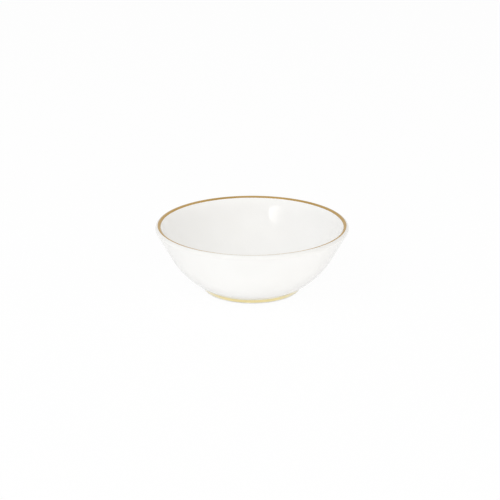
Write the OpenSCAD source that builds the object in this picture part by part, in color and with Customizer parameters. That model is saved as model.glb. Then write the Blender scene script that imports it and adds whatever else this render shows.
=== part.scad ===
// Footed porcelain serving bowl: a turned clay body, its two coats of glaze and two lines of gold.
// Every piece is a turning about the Z axis. The bowl stands on z = 0, in millimetres.
// All pieces come from one half-section, drawn at a chosen distance from the finished glaze,
// so each coat seats on the one below it wherever the section bends.

/* [Bowl] */
// Diameter over the lip
rim_d = 160; // [148:1:186]
// Height from the table to the crest of the lip
bowl_h = 55; // [48:0.1:64]
// Thickness of the lip, glaze included; the lip is a full round of it
lip_t = 4.7; // [3.6:0.1:6]
// Slope of the straight flank, in degrees from level
flank_angle = 61.5; // [58:0.5:65]
// Radius of the outside curve of the belly
belly_r = 67; // [58:0.5:84]
// Radius of the shoulder, where the belly turns under to the foot
shoulder_r = 3; // [1.5:0.1:5]
// Reach of the level underside, from the foot ring out to the shoulder
shoulder_out = 1.6; // [1.2:0.1:4]

/* [Inside] */
// Thickness of the floor above the hollow of the foot, glaze included
floor_t = 4.8; // [3.6:0.1:7]
// Radius of the slow curve of the inside wall
inside_r = 110; // [95:1:150]
// How much steeper the inside wall leaves the lip than the flank outside, in degrees
inside_steeper = 6.5; // [5:0.5:9]
// Radius of the quicker curve from the floor up into that wall
well_r = 50; // [40:0.5:58]

/* [Foot] */
// Diameter over the foot ring at the table
foot_d = 82; // [72:0.5:90]
// Height from the table to the level underside of the bowl
foot_h = 4.6; // [4:0.1:7]
// Width of the foot ring at the table
foot_w = 4.6; // [3.6:0.1:7]
// Lean of both sides of the foot ring, in degrees from upright
foot_draft = 3; // [0:0.5:8]
// Round along both edges of the standing face
foot_edge_r = 0.5; // [0.25:0.05:0.5]
// Fillet between the foot ring and the underside
foot_root_r = 0.8; // [0.5:0.1:1.2]
// Depth of the hollow inside the foot ring
hollow_h = 3.8; // [3:0.1:6]
// Fillet round the top of the hollow
hollow_r = 2; // [1:0.1:2.4]

/* [Glaze] */
// Thickness of the glaze
glaze_t = 0.25; // [0.15:0.01:0.4]
// Height wiped clean of glaze above the table
wiped_h = 0.55; // [0.5:0.05:1]

/* [Gold] */
// Thickness of the gold
gold_t = 0.1; // [0.06:0.01:0.2]
// Width of the gold along the round of the lip
rim_gold_w = 2.8; // [1.5:0.1:5]
// Reach of that gold past the crest, towards the outside
rim_gold_out = 0.4; // [0:0.05:1.2]
// Width of the gold on the foot ring
foot_gold_w = 2.5; // [1.5:0.1:3]
// Height of that gold above the wiped edge
foot_gold_lift = 0.3; // [0.05:0.05:0.6]

/* [Hidden] */

$fn = 180;

// Depth by which a round overlaps the line it runs into, so that the two cross cleanly
meet = 0.004;
// Depth by which a cut or a fill runs past the face it works on
past = 1;

// The axis of the bowl, and directions in the half-section: [outwards, upwards]
axis = 0;
down = [0, -1];
flank_out = [sin(flank_angle), -cos(flank_angle)];
flank_up = [cos(flank_angle), sin(flank_angle)];

// The lip is a full round, and the flank leaves it where its round turns to the flank's slope
lip_r = lip_t / 2;
lip_c = [rim_d / 2 - lip_r, bowl_h - lip_r];
flank_top = lip_c + lip_r * flank_out;

// The shoulder is set out from the foot; the belly touches both the shoulder and the flank
foot_r = foot_d / 2;
shoulder_c = [foot_r + shoulder_out, foot_h + shoulder_r];
belly_from_flank = flank_top - belly_r * flank_out;
belly_run = (shoulder_c - belly_from_flank) * flank_up;
belly_gap = (shoulder_c - belly_from_flank) * flank_out;
belly_c = belly_from_flank
    + flank_up * (belly_run + sqrt((belly_r - shoulder_r) ^ 2 - belly_gap ^ 2));
shoulder_out_dir = (shoulder_c - belly_c) / norm(shoulder_c - belly_c);

// The inside wall touches the lip, and the curve of the well touches that wall and the floor
inside_angle = flank_angle + inside_steeper;
inside_dir = steep_dir(inside_angle);
inside_c = lip_c + (lip_r + inside_r) * inside_dir;
floor_z = hollow_h + floor_t;
well_z = floor_z + well_r;
well_c = [inside_c.x + sqrt((inside_r - well_r) ^ 2 - (well_z - inside_c.y) ^ 2), well_z];
well_dir = (well_c - inside_c) / norm(well_c - inside_c);

// The fillets of the foot touch the faces on both sides of them
root_z = foot_h - foot_root_r;
root_c = [foot_face(root_z, 0) + foot_root_r / cos(foot_draft), root_z];
hollow_c = [hollow_face(hollow_h - hollow_r, 0) - hollow_r / cos(foot_draft), hollow_h - hollow_r];
ring_mid = foot_r - foot_w / 2;

// Radius of the foot ring's outer face, and of the hollow inside it, at height z and o beyond the glaze
function foot_face(z, o) = foot_r + z * tan(foot_draft) + o / cos(foot_draft);
function hollow_face(z, o) = foot_r - foot_w - z * tan(foot_draft) - o / cos(foot_draft);

// Where a line through p along the flank reaches height z
function on_flank(p, z) = p + flank_up * ((z - p.y) / flank_up.y);

// The direction square to an inside wall of a given slope, towards the space that the bowl holds
function steep_dir(slope) = [-sin(slope), cos(slope)];

// A point o beyond the glaze, at distance s along the lip from its crest, inwards and then down the wall
round_run = lip_r * inside_angle * PI / 180;
function round_slope(s) = s / lip_r * 180 / PI;
function wall_slope(s) = inside_angle - (s - round_run) / inside_r * 180 / PI;
function lip_point(s, o) = s <= round_run
    ? lip_c + (lip_r + o) * steep_dir(round_slope(s))
    : inside_c - (inside_r - o) * steep_dir(wall_slope(s));

// What lies beyond a round of radius r about c, between directions a and b: it is cut off a corner
module corner_waste(c, r, a, b) {
    reach = 2 * r + past;
    difference() {
        polygon([c, c + reach * a, c + reach * (a + b), c + reach * b]);
        translate(c) circle(r);
    }
}

// Everything inside the outer face of the wall, from the axis out, o beyond the glaze
module outside(o) {
    underside_z = foot_h - o;
    top = flank_top + o * flank_out;
    over_axis = lip_c - inside_dir * (lip_c.x / inside_dir.x);
    difference() {
        polygon([[axis, underside_z], on_flank(top, underside_z), top, lip_c, over_axis]);
        corner_waste(belly_c, belly_r + o + meet, flank_out, down);
        corner_waste(shoulder_c, shoulder_r + o + 2 * meet, shoulder_out_dir, down);
    }
}

// The space that the bowl holds, when its wall stands o beyond the glaze
module inside(o) {
    bottom_z = floor_z + o;
    above_z = 2 * bowl_h;
    difference() {
        intersection() {
            polygon([[axis, bottom_z], [rim_d, bottom_z], [rim_d, above_z], [axis, above_z]]);
            translate(inside_c) circle(inside_r - o);
        }
        corner_waste(well_c, well_r - o + meet, well_dir, down);
    }
}

// The block of the foot ring and the fillet above it
module foot(o) {
    into_z = foot_h + past;
    polygon([[axis, 0], [foot_face(0, o), 0], [foot_face(into_z, o), into_z], [axis, into_z]]);
    difference() {
        polygon([[ring_mid, root_c.y], root_c, [root_c.x, into_z], [ring_mid, into_z]]);
        translate(root_c) circle(foot_root_r - o + meet);
    }
}

// The hollow inside the foot ring, when its faces stand o beyond the glaze
module hollow(o) {
    top_z = hollow_h - o;
    wall_dir = [cos(foot_draft), sin(foot_draft)];
    difference() {
        polygon([[axis, -past], [hollow_face(-past, o), -past], [hollow_face(top_z, o), top_z], [axis, top_z]]);
        corner_waste(hollow_c, hollow_r - o + meet, wall_dir, -down);
    }
}

// The half-section of the whole bowl, o beyond the finished glaze
module section(o) {
    difference() {
        union() {
            difference() {
                outside(o);
                inside(o);
            }
            translate(lip_c) circle(lip_r + o + meet);
            foot(o);
        }
        hollow(o);
    }
}

// What a coat of the given thickness adds on top of a section
module coat(under, thickness) {
    difference() {
        section(under + thickness);
        section(under);
    }
}

// The rounds that ease both edges of the standing face, cut from the clay
module standing_edge_waste() {
    outer_c = [foot_face(foot_edge_r, -glaze_t) - foot_edge_r / cos(foot_draft), foot_edge_r];
    inner_c = [hollow_face(foot_edge_r, -glaze_t) + foot_edge_r / cos(foot_draft), foot_edge_r];
    outer_dir = [cos(foot_draft), -sin(foot_draft)];
    inner_dir = [-cos(foot_draft), -sin(foot_draft)];
    corner_waste(outer_c, foot_edge_r + meet, outer_dir, down);
    corner_waste(inner_c, foot_edge_r + meet, inner_dir, down);
}

// From the middle of the foot ring inwards, up to the middle of the floor
module hollow_side(from_z) {
    polygon([[axis, from_z], [ring_mid, from_z], [ring_mid, hollow_h + floor_t / 2],
        [axis, hollow_h + floor_t / 2]]);
}

// The part of the section within a band along the lip
module lip_band(from_s, to_s, steps = 12) {
    rim = [for (i = [0 : steps]) lip_point(from_s + (to_s - from_s) * i / steps, lip_r)];
    polygon(concat(rim, [lip_point(to_s, -lip_r), lip_point(from_s, -lip_r)]));
}

// Wall, floor and foot ring, thrown and turned in one piece of clay; its standing face stays bare
module porcelain_body() color("#ece8de") rotate_extrude() difference() {
    section(-glaze_t);
    standing_edge_waste();
}

// The coat that runs up the outside, over the lip and across the inside, wiped off the standing edge
module bowl_glaze() color("#f7f6f2") rotate_extrude() difference() {
    coat(-glaze_t, glaze_t);
    hollow_side(-past);
    polygon([[axis, -past], [rim_d, -past], [rim_d, wiped_h], [axis, wiped_h]]);
}

// The second coat, in the hollow of the foot, which the bare standing face divides from the first
module foot_hollow_glaze() color("#f4f3ee") rotate_extrude() intersection() {
    coat(-glaze_t, glaze_t);
    hollow_side(wiped_h);
}

// The gold line fired on the crest of the lip, reaching to the inside
module rim_gold_band() color("#b6986a") rotate_extrude() intersection() {
    coat(0, gold_t);
    lip_band(-rim_gold_out, rim_gold_w - rim_gold_out);
}

// The gold line fired round the foot ring
module foot_gold_band() color("#eadba4") rotate_extrude() intersection() {
    low_z = wiped_h + foot_gold_lift;
    high_z = low_z + foot_gold_w;
    coat(0, gold_t);
    polygon([[ring_mid, low_z], [rim_d, low_z], [rim_d, high_z], [ring_mid, high_z]]);
}

porcelain_body();
bowl_glaze();
foot_hollow_glaze();
rim_gold_band();
foot_gold_band();
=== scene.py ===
"""The looks of a footed porcelain bowl: its gloss glaze, its two gold lines and the bare clay it stands on.

Every coat is a turning about the Z axis, on the same half-section as the solid that it stands for.
A point of the half-section is [outwards, upwards]. Lengths are in metres and angles in radians,
but for the directions of the lamps and the eye, which are in degrees.
"""

import math

import bmesh
import bpy
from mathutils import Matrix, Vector, noise


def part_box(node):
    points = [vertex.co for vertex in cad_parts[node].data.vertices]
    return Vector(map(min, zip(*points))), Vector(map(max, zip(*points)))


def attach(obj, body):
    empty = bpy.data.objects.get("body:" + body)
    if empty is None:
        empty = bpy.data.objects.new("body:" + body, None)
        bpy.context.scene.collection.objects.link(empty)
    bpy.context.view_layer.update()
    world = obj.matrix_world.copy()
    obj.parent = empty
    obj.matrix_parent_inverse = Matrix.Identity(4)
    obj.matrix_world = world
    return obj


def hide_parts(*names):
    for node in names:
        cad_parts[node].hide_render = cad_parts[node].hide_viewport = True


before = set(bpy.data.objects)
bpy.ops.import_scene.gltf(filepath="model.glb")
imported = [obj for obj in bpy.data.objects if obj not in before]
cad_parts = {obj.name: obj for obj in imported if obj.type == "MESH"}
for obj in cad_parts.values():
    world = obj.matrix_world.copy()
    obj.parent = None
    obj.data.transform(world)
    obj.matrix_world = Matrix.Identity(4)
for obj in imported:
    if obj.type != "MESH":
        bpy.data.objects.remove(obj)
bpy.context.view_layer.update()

MM = 0.001

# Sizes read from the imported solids
body_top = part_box("porcelain_body")[1].z
glaze_low, glaze_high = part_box("bowl_glaze")
hollow_glaze_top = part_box("foot_hollow_glaze")[1].z
foot_gold_low, foot_gold_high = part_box("foot_gold_band")

RIM_R = min(glaze_high.x, glaze_high.y, -glaze_low.x, -glaze_low.y)
BOWL_H = glaze_high.z
GLAZE_T = BOWL_H - body_top
WIPED_H = glaze_low.z
HOLLOW_H = hollow_glaze_top - GLAZE_T
FOOT_GOLD_LOW = foot_gold_low.z
FOOT_GOLD_HIGH = foot_gold_high.z

# Sizes of the half-section that no box gives
LIP_T = 4.7 * MM
FLOOR_T = 4.8 * MM
FLANK_ANGLE = math.radians(61.5)
BELLY_R = 67 * MM
SHOULDER_R = 3 * MM
SHOULDER_OUT = 1.6 * MM
INSIDE_R = 110 * MM
INSIDE_STEEPER = math.radians(6.5)
WELL_R = 50 * MM
FOOT_R = 41 * MM
FOOT_H = 4.6 * MM
FOOT_W = 4.6 * MM
FOOT_DRAFT = math.radians(3)
FOOT_ROOT_R = 0.8 * MM
HOLLOW_R = 2 * MM

# The gold line on the lip, measured along its round from the crest inwards
RIM_GOLD_W = 2.8 * MM
RIM_GOLD_OUT = 0.4 * MM
# How far that line was drawn in on the side towards the eye, and how closely the shift keeps to that side
RIM_GOLD_DRIFT = 0.6 * MM
RIM_DRIFT_POWER = 6
# Height of the fired film at its middle, and how deep its underside lies in the glaze
GOLD_CROWN = 0.06 * MM
GOLD_SUNK = 0.08 * MM
# How far a hand-drawn edge strays, and in how many waves round the bowl
GOLD_WAVER = 0.09 * MM
RIM_WAVES = 22
FOOT_WAVES = 26
WIPED_WAVER = 0.07 * MM
WIPED_WAVES = 40
# Radius of a coat's rolled end, as a share of its thickness
WIPED_ROLL = 0.45

# Segments of one full turn
TURN_STEPS = 288
# Points that lie closer than this are one, and edges that bend by more than this are corners
SAME_PLACE = 0.001 * MM
CORNER_ANGLE = 1.0


def point(outwards, upwards):
    """A point of the half-section, which lies in the XZ plane."""
    return Vector((outwards, 0, upwards))


def toward(angle):
    """A direction in the half-section, turned from outwards to upwards."""
    return point(math.cos(angle), math.sin(angle))


def foot_face(z, beyond):
    """Radius of the foot ring's outer face at height z, some way beyond the glaze."""
    return FOOT_R + z * math.tan(FOOT_DRAFT) + beyond / math.cos(FOOT_DRAFT)


def hollow_face(z, beyond):
    """Radius of the hollow inside the foot ring at height z, some way beyond the glaze."""
    return FOOT_R - FOOT_W - z * math.tan(FOOT_DRAFT) - beyond / math.cos(FOOT_DRAFT)


# Directions and centres of the half-section
DOWN = math.radians(-90)
FLANK_TURN = FLANK_ANGLE + DOWN
flank_out = toward(FLANK_TURN)
flank_up = toward(FLANK_ANGLE)

LIP_R = LIP_T / 2
lip_c = point(RIM_R - LIP_R, BOWL_H - LIP_R)
flank_top = lip_c + LIP_R * flank_out

shoulder_c = point(FOOT_R + SHOULDER_OUT, FOOT_H + SHOULDER_R)
belly_from_flank = flank_top - BELLY_R * flank_out
belly_run = (shoulder_c - belly_from_flank).dot(flank_up)
belly_gap = (shoulder_c - belly_from_flank).dot(flank_out)
belly_rise = math.sqrt((BELLY_R - SHOULDER_R) ** 2 - belly_gap ** 2)
belly_c = belly_from_flank + flank_up * (belly_run + belly_rise)
shoulder_way = shoulder_c - belly_c
SHOULDER_TURN = math.atan2(shoulder_way.z, shoulder_way.x)

INSIDE_TURN = math.pi / 2 + FLANK_ANGLE + INSIDE_STEEPER
inside_c = lip_c + (LIP_R + INSIDE_R) * toward(INSIDE_TURN)
floor_z = HOLLOW_H + FLOOR_T
well_z = floor_z + WELL_R
well_out = math.sqrt((INSIDE_R - WELL_R) ** 2 - (well_z - inside_c.z) ** 2)
well_c = point(inside_c.x + well_out, well_z)
WELL_TURN = math.atan2(well_z - inside_c.z, well_out)

root_z = FOOT_H - FOOT_ROOT_R
root_c = point(foot_face(root_z, 0) + FOOT_ROOT_R / math.cos(FOOT_DRAFT), root_z)
hollow_top_z = HOLLOW_H - HOLLOW_R
hollow_c = point(hollow_face(hollow_top_z, 0) - HOLLOW_R / math.cos(FOOT_DRAFT), hollow_top_z)

bowl_middle = point(0, BOWL_H / 2)


class Outline:
    """A half-section that is drawn by extruding and spinning its last vertex, the pen."""

    def __init__(self, start):
        self.mesh = bmesh.new()
        self.lift_to(start)

    def lift_to(self, start):
        """Starts a separate run at a point."""
        self.pen = self.mesh.verts.new(start)
        self.first = self.pen

    def line_to(self, end, steps=1):
        """Draws a straight run to a point."""
        stride = (end - self.pen.co) / steps
        for _ in range(steps):
            made = bmesh.ops.extrude_vert_indiv(self.mesh, verts=[self.pen])
            self.pen = made["verts"][0]
            bmesh.ops.translate(self.mesh, verts=[self.pen], vec=stride)

    def arc_about(self, centre, turn, steps):
        """Draws an arc about a centre; a positive turn goes from outwards to upwards."""
        made = bmesh.ops.spin(
            self.mesh, geom=[self.pen], cent=centre, axis=(0, -1, 0),
            angle=turn, steps=steps, use_merge=False
        )
        self.pen = next(item for item in made["geom_last"] if isinstance(item, bmesh.types.BMVert))

    def bulge_to(self, end, rise, steps):
        """Draws an arc to a point that stands out, on the right of the way there, by a rise."""
        half = (end - self.pen.co) / 2
        middle = self.pen.co + half
        radius = (half.length_squared + rise ** 2) / (2 * rise)
        right = point(half.z, -half.x).normalized()
        turn = 2 * math.asin(half.length / radius)
        self.arc_about(middle + right * (rise - radius), turn, steps)

    def close(self):
        """Joins the end of a run to its start."""
        self.mesh.edges.new((self.pen, self.first))

    def turn(self):
        """Spins the half-section a full turn about Z and closes its seam and its poles."""
        section = self.mesh.verts[:] + self.mesh.edges[:]
        bmesh.ops.spin(
            self.mesh, geom=section, cent=(0, 0, 0), axis=(0, 0, 1),
            angle=math.tau, steps=TURN_STEPS, use_merge=True
        )
        bmesh.ops.remove_doubles(self.mesh, verts=self.mesh.verts[:], dist=SAME_PLACE)
        bmesh.ops.recalc_face_normals(self.mesh, faces=self.mesh.faces[:])


def finish_piece(name, outline, material, node):
    """Makes a turned outline a smooth piece that rides on the bowl and stands for a solid."""
    for face in outline.mesh.faces:
        face.smooth = True
    mesh = bpy.data.meshes.new(name)
    outline.mesh.to_mesh(mesh)
    outline.mesh.free()
    mesh.materials.append(material)
    piece = bpy.data.objects.new(name, mesh)
    bpy.context.scene.collection.objects.link(piece)
    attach(piece, "root")
    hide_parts(node)


def waver(vertex, waves, seed):
    """A smooth wander from -1 to 1 along the turning, with about as many waves as said."""
    around = Vector((vertex.co.x, vertex.co.y, 0)).normalized() * waves / math.tau
    return noise.noise(around + Vector((0, 0, seed)))


def draw_bowl_side(outline, beyond):
    """Draws the outside, the lip and the inside, from the foot's outer face to the axis."""
    outline.line_to(root_c + (FOOT_ROOT_R - beyond) * toward(math.pi - FOOT_DRAFT), steps=6)
    outline.arc_about(root_c, FOOT_DRAFT - math.pi / 2, steps=8)
    outline.line_to(shoulder_c + (SHOULDER_R + beyond) * toward(DOWN), steps=2)
    outline.arc_about(shoulder_c, SHOULDER_TURN - DOWN, steps=8)
    outline.arc_about(belly_c, FLANK_TURN - SHOULDER_TURN, steps=24)
    outline.line_to(lip_c + (LIP_R + beyond) * flank_out, steps=12)
    outline.arc_about(lip_c, INSIDE_TURN - FLANK_TURN, steps=28)
    outline.arc_about(inside_c, WELL_TURN - (INSIDE_TURN - math.pi), steps=16)
    outline.arc_about(well_c, DOWN - WELL_TURN, steps=36)
    outline.line_to(point(0, floor_z + beyond), steps=10)


def draw_hollow(outline, beyond):
    """Draws the hollow of the foot, from its wall to the axis."""
    outline.line_to(hollow_c + (HOLLOW_R - beyond) * toward(FOOT_DRAFT), steps=4)
    outline.arc_about(hollow_c, math.pi / 2 - FOOT_DRAFT, steps=12)
    outline.line_to(point(0, HOLLOW_H - beyond), steps=10)


def is_wiped_corner(edge):
    """Whether an edge runs round the square end of a coat."""
    on_end = all(abs(vertex.co.z - WIPED_H) < SAME_PLACE for vertex in edge.verts)
    return on_end and edge.calc_face_angle(0) > CORNER_ANGLE


def roll_wiped_end(mesh):
    """Rounds the end of a coat and lets it wander a little up and down, as a sponge leaves it."""
    end_edges = [edge for edge in mesh.edges if is_wiped_corner(edge)]
    bmesh.ops.bevel(
        mesh, geom=end_edges, offset=GLAZE_T * WIPED_ROLL, segments=4,
        profile=0.5, affect="EDGES", material=-1
    )
    reach = FOOT_GOLD_LOW - WIPED_H
    for vertex in mesh.verts:
        share = 1 - (vertex.co.z - WIPED_H) / reach
        if share > 0:
            vertex.co.z += share * WIPED_WAVER * (1 + waver(vertex, WIPED_WAVES, seed=3))


def glaze_coat(name, draw, start_face, material, node):
    """Turns a coat of glaze, drawn as its skin and the face it lies on, and rolls its wiped end."""
    outline = Outline(point(start_face(WIPED_H, 0), WIPED_H))
    skin_first = outline.pen
    draw(outline, 0)
    outline.lift_to(point(start_face(WIPED_H, -GLAZE_T), WIPED_H))
    clay_first = outline.pen
    draw(outline, -GLAZE_T)
    outline.mesh.edges.new((clay_first, skin_first))
    outline.turn()
    roll_wiped_end(outline.mesh)
    finish_piece(name, outline, material, node)


def bowl_glaze_coat(material):
    """The coat up the outside, over the lip and across the inside."""
    glaze_coat("bowl_glaze_coat", draw_bowl_side, foot_face, material, "bowl_glaze")


def foot_hollow_glaze_coat(material):
    """The coat in the hollow of the foot, wiped off level with the first."""
    glaze_coat("foot_hollow_glaze_coat", draw_hollow, hollow_face, material, "foot_hollow_glaze")


def gold_line(name, outline, edge_wander, material, node):
    """Turns the section of a gold line, lets its edges wander and finishes it."""
    outline.turn()
    for vertex in outline.mesh.verts:
        edge_wander(vertex)
    finish_piece(name, outline, material, node)


def rim_gold_line(material):
    """The line on the crest of the lip: a low crown of gold that thins out to both edges."""
    start_turn = math.pi / 2 - RIM_GOLD_OUT / LIP_R
    end_turn = start_turn + RIM_GOLD_W / LIP_R
    sagitta = LIP_R * (1 - math.cos((end_turn - start_turn) / 2))
    outline = Outline(lip_c + LIP_R * toward(start_turn))
    outline.bulge_to(lip_c + LIP_R * toward(end_turn), sagitta + GOLD_CROWN, steps=14)
    outline.line_to(lip_c + (LIP_R - GOLD_SUNK) * toward(end_turn))
    outline.arc_about(lip_c, start_turn - end_turn, steps=6)
    outline.close()

    def edge_wander(vertex):
        """Slides a vertex round the lip by a mix of what its two edges do."""
        radius = math.hypot(vertex.co.x, vertex.co.y)
        spoke = Vector((vertex.co.x, vertex.co.y, 0)) / radius
        turn = math.atan2(vertex.co.z - lip_c.z, radius - lip_c.x)
        share = (turn - start_turn) / (end_turn - start_turn)
        outer_wander = (1 - share) * waver(vertex, RIM_WAVES, seed=5)
        inner_wander = share * waver(vertex, RIM_WAVES, seed=9)
        slide = GOLD_WAVER * (outer_wander + inner_wander)
        slide += RIM_GOLD_DRIFT * max(0, -spoke.y) ** RIM_DRIFT_POWER
        height = math.hypot(vertex.co.z - lip_c.z, radius - lip_c.x)
        moved = lip_c + height * toward(turn + slide / LIP_R)
        vertex.co = spoke * moved.x + Vector((0, 0, moved.z))

    gold_line("rim_gold_line", outline, edge_wander, material, "rim_gold_band")


def foot_gold_line(material):
    """The line round the foot ring: a low crown of gold on its outer face."""
    outline = Outline(point(foot_face(FOOT_GOLD_LOW, 0), FOOT_GOLD_LOW))
    outline.bulge_to(point(foot_face(FOOT_GOLD_HIGH, 0), FOOT_GOLD_HIGH), GOLD_CROWN, steps=12)
    outline.line_to(point(foot_face(FOOT_GOLD_HIGH, -GOLD_SUNK), FOOT_GOLD_HIGH))
    outline.line_to(point(foot_face(FOOT_GOLD_LOW, -GOLD_SUNK), FOOT_GOLD_LOW), steps=4)
    outline.close()

    def edge_wander(vertex):
        """Slides a vertex up or down by a mix of what its two edges do, never past the line's limits."""
        share = (vertex.co.z - FOOT_GOLD_LOW) / (FOOT_GOLD_HIGH - FOOT_GOLD_LOW)
        low_wander = (1 - share) * (1 + waver(vertex, FOOT_WAVES, seed=15))
        high_wander = share * (1 + waver(vertex, FOOT_WAVES, seed=19))
        vertex.co.z += GOLD_WAVER / 2 * (low_wander - high_wander)

    gold_line("foot_gold_line", outline, edge_wander, material, "foot_gold_band")


def feed(tree, socket, value):
    """Links an output to a socket, or sets the socket to a number, a vector or a colour."""
    if isinstance(value, bpy.types.NodeSocket):
        tree.links.new(value, socket)
    elif isinstance(value, tuple) and socket.type == "RGBA":
        socket.default_value = (*value, 1)
    else:
        socket.default_value = value


def add_node(tree, kind, inputs=None, **settings):
    """Adds a node, with settings of its own, and sets or links its inputs."""
    made = tree.nodes.new(kind)
    for name, value in settings.items():
        setattr(made, name, value)
    for name, value in (inputs or {}).items():
        feed(tree, made.inputs[name], value)
    return made


def calculate(tree, operation, first, second=0.0):
    """A Math node's result; each side is a number or an output."""
    return add_node(tree, "ShaderNodeMath", {0: first, 1: second}, operation=operation).outputs["Value"]


def vector_math(tree, operation, first, second=(0, 0, 0)):
    """A Vector Math node, whose result is its output Vector or Value; each side is a vector or an output."""
    return add_node(tree, "ShaderNodeVectorMath", {0: first, 1: second}, operation=operation)


def spread(tree, value, low, high, from_low=0.0, from_high=1.0):
    """A value moved from one range to another, and held inside it."""
    ranges = {"Value": value, "From Min": from_low, "From Max": from_high, "To Min": low, "To Max": high}
    return add_node(tree, "ShaderNodeMapRange", ranges).outputs["Result"]


def share_between(tree, value, start, end):
    """0 where a value is up to a start, 1 from an end on, and a straight rise between them."""
    return spread(tree, value, 0.0, 1.0, from_low=start, from_high=end)


def blend_colours(tree, share, first, second):
    """The first colour where the share is 0, and the second where it is 1."""
    made = add_node(tree, "ShaderNodeMix", data_type="RGBA")
    sockets = {socket.identifier: socket for socket in made.inputs}
    feed(tree, sockets["Factor_Float"], share)
    feed(tree, sockets["A_Color"], first)
    feed(tree, sockets["B_Color"], second)
    return next(socket for socket in made.outputs if socket.identifier == "Result_Color")


def object_place(tree):
    """Where a shaded point lies in the bowl's own coordinates."""
    return add_node(tree, "ShaderNodeTexCoord").outputs["Object"]


def height_of(tree, place):
    """The height of a place."""
    return add_node(tree, "ShaderNodeSeparateXYZ", {"Vector": place}).outputs["Z"]


def new_group(name, inputs, output):
    """Starts a node group with number sockets: the group, what it is given and where its result goes."""
    group = bpy.data.node_groups.new(name, "ShaderNodeTree")
    for label in inputs:
        group.interface.new_socket(label, in_out="INPUT", socket_type="NodeSocketFloat")
    group.interface.new_socket(output, in_out="OUTPUT", socket_type="NodeSocketFloat")
    return group, group.nodes.new("NodeGroupInput").outputs, group.nodes.new("NodeGroupOutput").inputs


def use_group(tree, group, inputs):
    """Places a group with its own values, and gives its output."""
    return add_node(tree, "ShaderNodeGroup", node_tree=group, inputs=inputs).outputs[0]


def soft_cloud_group():
    """Slow, soft unevenness, as of a coat that was dipped and fired."""
    group, given, result = new_group("soft_cloud", ["Scale", "Detail"], "Cloud")
    fed = {"Vector": object_place(group), "Scale": given["Scale"], "Detail": given["Detail"]}
    feed(group, result["Cloud"], add_node(group, "ShaderNodeTexNoise", fed).outputs["Fac"])
    return group


def turned_streaks_group():
    """Streaks drawn out round the Z axis, as a brush or a wheel leaves them."""
    group, given, result = new_group("turned_streaks", ["Around", "Across"], "Streak")
    place = object_place(group)
    flat = vector_math(group, "MULTIPLY", place, (1, 1, 0)).outputs["Vector"]
    spoke = vector_math(group, "NORMALIZE", flat).outputs["Vector"]
    outwards = vector_math(group, "LENGTH", flat).outputs["Value"]
    across = calculate(group, "ADD", outwards, height_of(group, place))
    across = calculate(group, "MULTIPLY", across, given["Across"])
    drawn_out = vector_math(group, "SCALE", spoke)
    feed(group, drawn_out.inputs["Scale"], given["Around"])
    layer = add_node(group, "ShaderNodeCombineXYZ", {"Z": across}).outputs["Vector"]
    where = vector_math(group, "ADD", drawn_out.outputs["Vector"], layer).outputs["Vector"]
    streak = add_node(group, "ShaderNodeTexNoise", {"Vector": where, "Scale": 1.0, "Detail": 4.0})
    feed(group, result["Streak"], streak.outputs["Fac"])
    return group


def specks_group():
    """Sparse round specks: 1 in a speck and 0 elsewhere."""
    group, given, result = new_group("specks", ["Scale", "Size", "Rarity"], "Speck")
    fed = {"Vector": object_place(group), "Scale": given["Scale"]}
    cells = add_node(group, "ShaderNodeTexVoronoi", fed).outputs
    dot = spread(group, cells["Distance"], 1.0, 0.0, from_high=given["Size"])
    chance = add_node(group, "ShaderNodeSeparateColor", {"Color": cells["Color"]}).outputs["Red"]
    chosen = calculate(group, "GREATER_THAN", chance, given["Rarity"])
    feed(group, result["Speck"], calculate(group, "MULTIPLY", dot, chosen))
    return group


soft_cloud = soft_cloud_group()
turned_streaks = turned_streaks_group()
specks = specks_group()

# Colours of the finishes
GLAZE_THIN = (0.964, 0.962, 0.950)
GLAZE_POOLED = (0.948, 0.945, 0.930)
# Partly painted shade: the lip's tone is glaze that runs thin there and shade that holds down the light on
# the lip
GLAZE_LIP_THIN_AND_SHADE = (0.880, 0.876, 0.857)
# Painted shade: the glaze is darker where it is seen aslant, towards its outline
GLAZE_ASLANT_SHADE = (0.83, 0.826, 0.808)
HOLLOW_THIN = (0.935, 0.934, 0.915)
HOLLOW_POOLED = (0.905, 0.903, 0.880)
RIM_GOLD = (0.53, 0.345, 0.125)
RIM_GOLD_DEEP = (0.43, 0.27, 0.08)
# Painted light: the rim gold's tone where it turns from the eye
RIM_GOLD_GRAZING_LIGHT = (0.50, 0.33, 0.12)
FOOT_GOLD = (0.92, 0.80, 0.44)
FOOT_GOLD_DEEP = (0.81, 0.685, 0.345)
# Painted sheen: the foot gold's paler tone where it turns from the eye, standing in for its reflection at a
# grazing angle
FOOT_GOLD_GRAZING_SHEEN = (0.82, 0.79, 0.69)
CLAY_PALE = (0.93, 0.92, 0.895)
CLAY_WARM = (0.90, 0.885, 0.85)
CLAY_DEEP = (0.82, 0.79, 0.735)
GRIT = (0.36, 0.31, 0.25)

# Roughness of the finishes, at their smoothest and at their roughest
GLAZE_ROUGHNESS = (0.05, 0.10)
RIM_GOLD_ROUGHNESS = (0.30, 0.46)
FOOT_GOLD_ROUGHNESS = (0.28, 0.44)
CLAY_ROUGHNESS = (0.5, 0.8)

# Depth of the fine relief on each of them
GLAZE_RIPPLE = 0.006 * MM
GOLD_STREAK = 0.012 * MM
CLAY_GRAIN = 0.03 * MM

# How strongly pinpricks, grit and polish marks show, and how much of the gold's unevenness is brush streaks
PRICK_STRENGTH = 0.25
GRIT_STRENGTH = 0.5
POLISH_STRENGTH = 0.35
STREAK_SHARE = 0.6

# Spans of unevenness, or of the turn from the eye, over which one tone goes over to the next
CLOUD_SPAN = (0.3, 0.7)
GOLD_TONE_SPAN = (0.35, 0.65)
POLISH_SPAN = (0.4, 0.8)
# Over this turn from the eye the glaze's painted shade comes in
GLAZE_SHADE_SPAN = (0.6, 1.0)
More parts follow.
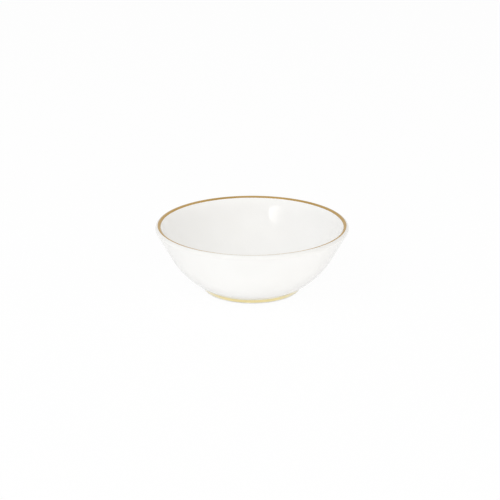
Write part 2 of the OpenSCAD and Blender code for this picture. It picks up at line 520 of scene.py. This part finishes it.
# Over this turn from the eye the gold takes its painted light
GOLD_GRAZING_SPAN = (0.22, 0.7)

# Heights between which the glaze outside goes over to the lip's tone: glaze that runs thin there, and
# painted shade that holds down the light on the lip's top
LIP_THIN_AND_SHADE_LOW = BOWL_H - 4.5 * MM
LIP_THIN_AND_SHADE_HIGH = BOWL_H - 1.2 * MM
# A ball about a point on the axis that runs inside the wall, so that only the outside lies beyond it
WALL_BALL_C = point(0, 80 * MM)
WALL_BALL_R = 80.6 * MM
WALL_BALL_SOFT = 1.0 * MM


def new_material(name, constants):
    """Starts a material, and gives it with its tree and its shader, which has its constants set."""
    material = bpy.data.materials.new(name)
    material.use_nodes = True
    tree = material.node_tree
    shader = tree.nodes["Principled BSDF"]
    for label, value in constants.items():
        feed(tree, shader.inputs[label], value)
    return material, tree, shader


def add_relief(tree, shader, height, depth):
    """Bumps a shader's surface by a height from 0 to 1 that stands for a depth."""
    bump = add_node(tree, "ShaderNodeBump", {"Height": height, "Strength": 1.0, "Distance": depth})
    feed(tree, shader.inputs["Normal"], bump.outputs["Normal"])


def turned_from_eye(tree):
    """0 where a surface faces the eye, rising to 1 where it is seen edge on."""
    return add_node(tree, "ShaderNodeLayerWeight", {"Blend": 0.5}).outputs["Facing"]


def glaze_material(name, thin, pooled):
    """Clear gloss over white porcelain, with a faint ripple and pinpricks.

    It is a little deeper where it pooled. Outside it has painted shade where seen aslant, and at the lip
    thin glaze and painted shade.
    """
    material, tree, shader = new_material(name, {"IOR": 1.5, "Metallic": 0.0})
    cloud = use_group(tree, soft_cloud, {"Scale": 28.0, "Detail": 2.0})
    white = blend_colours(tree, share_between(tree, cloud, *CLOUD_SPAN), thin, pooled)
    place = object_place(tree)
    away = vector_math(tree, "DISTANCE", place, WALL_BALL_C).outputs["Value"]
    outside = share_between(tree, away, WALL_BALL_R, WALL_BALL_R + WALL_BALL_SOFT)
    # Painted shade where the glaze outside is seen aslant
    aslant = share_between(tree, turned_from_eye(tree), *GLAZE_SHADE_SPAN)
    white = blend_colours(tree, calculate(tree, "MULTIPLY", outside, aslant), white, GLAZE_ASLANT_SHADE)
    # Darker at the lip outside: glaze that runs thin, and painted shade that holds down the light on the
    # lip's top
    lip = share_between(tree, height_of(tree, place), LIP_THIN_AND_SHADE_LOW, LIP_THIN_AND_SHADE_HIGH)
    white = blend_colours(tree, calculate(tree, "MULTIPLY", outside, lip), white, GLAZE_LIP_THIN_AND_SHADE)
    prick = use_group(tree, specks, {"Scale": 260.0, "Size": 0.07, "Rarity": 0.93})
    white = blend_colours(tree, calculate(tree, "MULTIPLY", prick, PRICK_STRENGTH), white, GRIT)
    feed(tree, shader.inputs["Base Color"], white)
    feed(tree, shader.inputs["Roughness"], spread(tree, cloud, *GLAZE_ROUGHNESS))
    ripple = use_group(tree, soft_cloud, {"Scale": 110.0, "Detail": 1.0})
    add_relief(tree, shader, ripple, GLAZE_RIPPLE)
    return material


def gold_material(name, gold, deep, grazing_light, roughness):
    """Fired gold laid on with a brush: streaks along the line, deeper places and a painted-light tone as it
    turns away.
    """
    material, tree, shader = new_material(name, {"Metallic": 1.0})
    smooth, rough = roughness
    streak = use_group(tree, turned_streaks, {"Around": 7.0, "Across": 2600.0})
    cloud = use_group(tree, soft_cloud, {"Scale": 60.0, "Detail": 3.0})
    streak_part = calculate(tree, "MULTIPLY", streak, STREAK_SHARE)
    cloud_part = calculate(tree, "MULTIPLY", cloud, 1 - STREAK_SHARE)
    unevenness = calculate(tree, "ADD", streak_part, cloud_part)
    tone = blend_colours(tree, share_between(tree, unevenness, *GOLD_TONE_SPAN), deep, gold)
    # Painted light: the gold's tone where it turns from the eye stands in for its reflection at a grazing
    # angle
    turned = share_between(tree, turned_from_eye(tree), *GOLD_GRAZING_SPAN)
    tone = blend_colours(tree, turned, tone, grazing_light)
    feed(tree, shader.inputs["Base Color"], tone)
    feed(tree, shader.inputs["Roughness"], spread(tree, unevenness, rough, smooth, *CLOUD_SPAN))
    add_relief(tree, shader, streak, GOLD_STREAK)
    return material


def clay_material(name):
    """Bare fired porcelain: a fine matt grain, polish marks round the foot and grit from the kiln shelf."""
    material, tree, shader = new_material(name, {"IOR": 1.5, "Metallic": 0.0})
    rings = use_group(tree, turned_streaks, {"Around": 3.0, "Across": 3000.0})
    grain = use_group(tree, soft_cloud, {"Scale": 2600.0, "Detail": 2.0})
    cloud = use_group(tree, soft_cloud, {"Scale": 70.0, "Detail": 3.0})
    grit = use_group(tree, specks, {"Scale": 900.0, "Size": 0.16, "Rarity": 0.9})
    tone = blend_colours(tree, share_between(tree, cloud, *CLOUD_SPAN), CLAY_PALE, CLAY_WARM)
    polish = spread(tree, rings, 0.0, POLISH_STRENGTH, *POLISH_SPAN)
    tone = blend_colours(tree, polish, tone, CLAY_DEEP)
    tone = blend_colours(tree, calculate(tree, "MULTIPLY", grit, GRIT_STRENGTH), tone, GRIT)
    feed(tree, shader.inputs["Base Color"], tone)
    feed(tree, shader.inputs["Roughness"], spread(tree, rings, *CLAY_ROUGHNESS))
    both = calculate(tree, "ADD", grain, rings)
    mean = calculate(tree, "MULTIPLY", both, 0.5)
    add_relief(tree, shader, mean, CLAY_GRAIN)
    return material


bowl_glaze_coat(glaze_material("gloss_glaze", GLAZE_THIN, GLAZE_POOLED))
foot_hollow_glaze_coat(glaze_material("hollow_glaze", HOLLOW_THIN, HOLLOW_POOLED))
rim_gold_line(gold_material("rim_gold", RIM_GOLD, RIM_GOLD_DEEP, RIM_GOLD_GRAZING_LIGHT, RIM_GOLD_ROUGHNESS))
foot_gold_line(gold_material("foot_gold", FOOT_GOLD, FOOT_GOLD_DEEP, FOOT_GOLD_GRAZING_SHEEN, FOOT_GOLD_ROUGHNESS))

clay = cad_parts["porcelain_body"]
clay.data.materials.clear()
clay.data.materials.append(clay_material("bare_clay"))

# The floor, a ring that is open inside the foot; it glows for the rays that see it directly
FLOOR_R = 8.0
FLOOR_OPEN_R = FOOT_R - 1.0 * MM
FLOOR_STEPS = 96
FLOOR_WHITE = (0.99, 0.99, 0.99)
FLOOR_GLOW = 0.95

# Level of the even white surroundings, for what they light
SURROUND_LIGHT = 0.58
# Colours of the lamps
WHITE_LIGHT = (1.0, 1.0, 1.0)
WARM_LIGHT = (1.0, 0.965, 0.91)
# The share of the window's width from which its light is full, and the power by which it rises to there
WINDOW_FULL = 0.85
WINDOW_RISE = 2.0


def seen_directly(tree):
    """1 for rays from the eye and for those that a mirror or a clear surface sends on, and else 0."""
    path = add_node(tree, "ShaderNodeLightPath").outputs
    seen = calculate(tree, "MAXIMUM", path["Is Camera Ray"], path["Is Glossy Ray"])
    return calculate(tree, "MAXIMUM", seen, path["Is Transmission Ray"])


def floor_material():
    """White to the eye and in reflections, keeping a little of the bowl's shadow, and clear from below."""
    material = bpy.data.materials.new("studio_floor")
    material.use_nodes = True
    tree = material.node_tree
    tree.nodes.clear()
    paper = add_node(tree, "ShaderNodeBsdfDiffuse", {"Color": FLOOR_WHITE}).outputs["BSDF"]
    glow = add_node(tree, "ShaderNodeEmission", {"Strength": 1.0}).outputs["Emission"]
    share = calculate(tree, "MULTIPLY", seen_directly(tree), FLOOR_GLOW)
    lit = add_node(tree, "ShaderNodeMixShader", {0: share, 1: paper, 2: glow}).outputs["Shader"]
    below = add_node(tree, "ShaderNodeNewGeometry").outputs["Backfacing"]
    clear = add_node(tree, "ShaderNodeBsdfTransparent").outputs["BSDF"]
    both = add_node(tree, "ShaderNodeMixShader", {0: below, 1: lit, 2: clear}).outputs["Shader"]
    add_node(tree, "ShaderNodeOutputMaterial", {"Surface": both})
    return material


def studio_floor():
    """A plain white floor under the bowl, open inside its foot, so that light reaches the hollow there."""
    ring = bmesh.new()
    inner = ring.verts.new((FLOOR_OPEN_R, 0, 0))
    outer = ring.verts.new((FLOOR_R, 0, 0))
    edge = ring.edges.new((inner, outer))
    bmesh.ops.spin(
        ring, geom=[inner, outer, edge], cent=(0, 0, 0), axis=(0, 0, 1),
        angle=math.tau, steps=FLOOR_STEPS, use_merge=True
    )
    bmesh.ops.recalc_face_normals(ring, faces=ring.faces[:])
    for face in ring.faces:
        if face.normal.z < 0:
            face.normal_flip()
    mesh = bpy.data.meshes.new("studio_floor")
    ring.to_mesh(mesh)
    ring.free()
    mesh.materials.append(floor_material())
    floor = bpy.data.objects.new("studio_floor", mesh)
    bpy.context.scene.collection.objects.link(floor)


def white_surroundings():
    """Even white all round, weaker as light than as the background that is seen."""
    world = bpy.data.worlds.new("white_surroundings")
    world.use_nodes = True
    tree = world.node_tree
    background = tree.nodes["Background"]
    feed(tree, background.inputs["Color"], WHITE_LIGHT)
    feed(tree, background.inputs["Strength"], spread(tree, seen_directly(tree), SURROUND_LIGHT, 1.0))
    bpy.context.scene.world = world


def from_bowl(azimuth, elevation):
    """A direction from the bowl; azimuth 0 is the eye's side, -Y, and positive is to its right."""
    side = math.radians(azimuth)
    up = math.radians(elevation)
    return Vector((math.sin(side) * math.cos(up), -math.cos(side) * math.cos(up), math.sin(up)))


def softbox(name, azimuth, elevation, distance, size, radiance, shape="RECTANGLE", colour=WHITE_LIGHT):
    """A softbox that looks at the bowl, from a direction that from_bowl takes."""
    lamp = bpy.data.lights.new(name, "AREA")
    lamp.shape = shape
    lamp.color = colour
    lamp.size, lamp.size_y = size
    lamp.energy = radiance * math.pi * size[0] * size[1]
    box = bpy.data.objects.new(name, lamp)
    box.location = bowl_middle + distance * from_bowl(azimuth, elevation)
    box.rotation_euler = (bowl_middle - box.location).to_track_quat("-Z", "Y").to_euler()
    bpy.context.scene.collection.objects.link(box)
    return box


def fade_across(lamp):
    """Lets a softbox fade out towards one side."""
    lamp.use_nodes = True
    tree = lamp.node_tree
    place = add_node(tree, "ShaderNodeNewGeometry").outputs["Parametric"]
    across = add_node(tree, "ShaderNodeSeparateXYZ", {"Vector": place}).outputs["X"]
    level = calculate(tree, "POWER", share_between(tree, across, 0.0, WINDOW_FULL), WINDOW_RISE)
    feed(tree, tree.nodes["Emission"].inputs["Strength"], level)


def light_bowl():
    """A window that shows in the glaze, and fills that light the bowl without showing in it."""
    window = softbox(
        "window_box", azimuth=-41.8, elevation=39.3, distance=1.6,
        size=(0.70, 0.43), radiance=2.7, shape="ELLIPSE"
    )
    fade_across(window.data)
    fills = [
        softbox("front_fill", azimuth=10, elevation=2.7, distance=1.4, size=(1.7, 0.15), radiance=3.6),
        softbox(
            "right_fill", azimuth=60, elevation=35, distance=2.0,
            size=(1.6, 1.2), radiance=1.5, colour=WARM_LIGHT
        ),
        softbox("left_fill", azimuth=-60, elevation=35, distance=2.0, size=(1.6, 1.2), radiance=1.45),
        softbox("high_fill", azimuth=-90, elevation=55, distance=2.0, size=(1.4, 1.4), radiance=0.55),
    ]
    for fill in fills:
        fill.visible_glossy = False


# The eye, fitted to the photograph: its distance and height, and in pixels the bowl's scale and place there
IMAGE_SIZE = 500
EYE_DISTANCE = 1.1
EYE_ELEVATION = 19.8
PIXELS_PER_METRE = 1198
BOWL_RIGHT_OF_CENTRE = 2.05
BOWL_BELOW_CENTRE = 4.87
SENSOR = 36.0


def place_eye():
    """Sets the camera so that the bowl's middle lands where the photograph has it."""
    camera = bpy.data.cameras.new("eye")
    camera.sensor_width = SENSOR
    camera.lens = SENSOR * EYE_DISTANCE * PIXELS_PER_METRE / IMAGE_SIZE
    eye = bpy.data.objects.new("eye", camera)
    eye.location = bowl_middle + EYE_DISTANCE * from_bowl(0, EYE_ELEVATION)
    ahead = (bowl_middle - eye.location).normalized()
    right = Vector((1, 0, 0))
    up = right.cross(ahead)
    aim = bowl_middle + (up * BOWL_BELOW_CENTRE - right * BOWL_RIGHT_OF_CENTRE) / PIXELS_PER_METRE
    eye.rotation_euler = (aim - eye.location).to_track_quat("-Z", "Y").to_euler()
    bpy.context.scene.collection.objects.link(eye)
    bpy.context.scene.camera = eye


studio_floor()
white_surroundings()
light_bowl()
place_eye()
bpy.context.scene.view_settings.view_transform = "Standard"
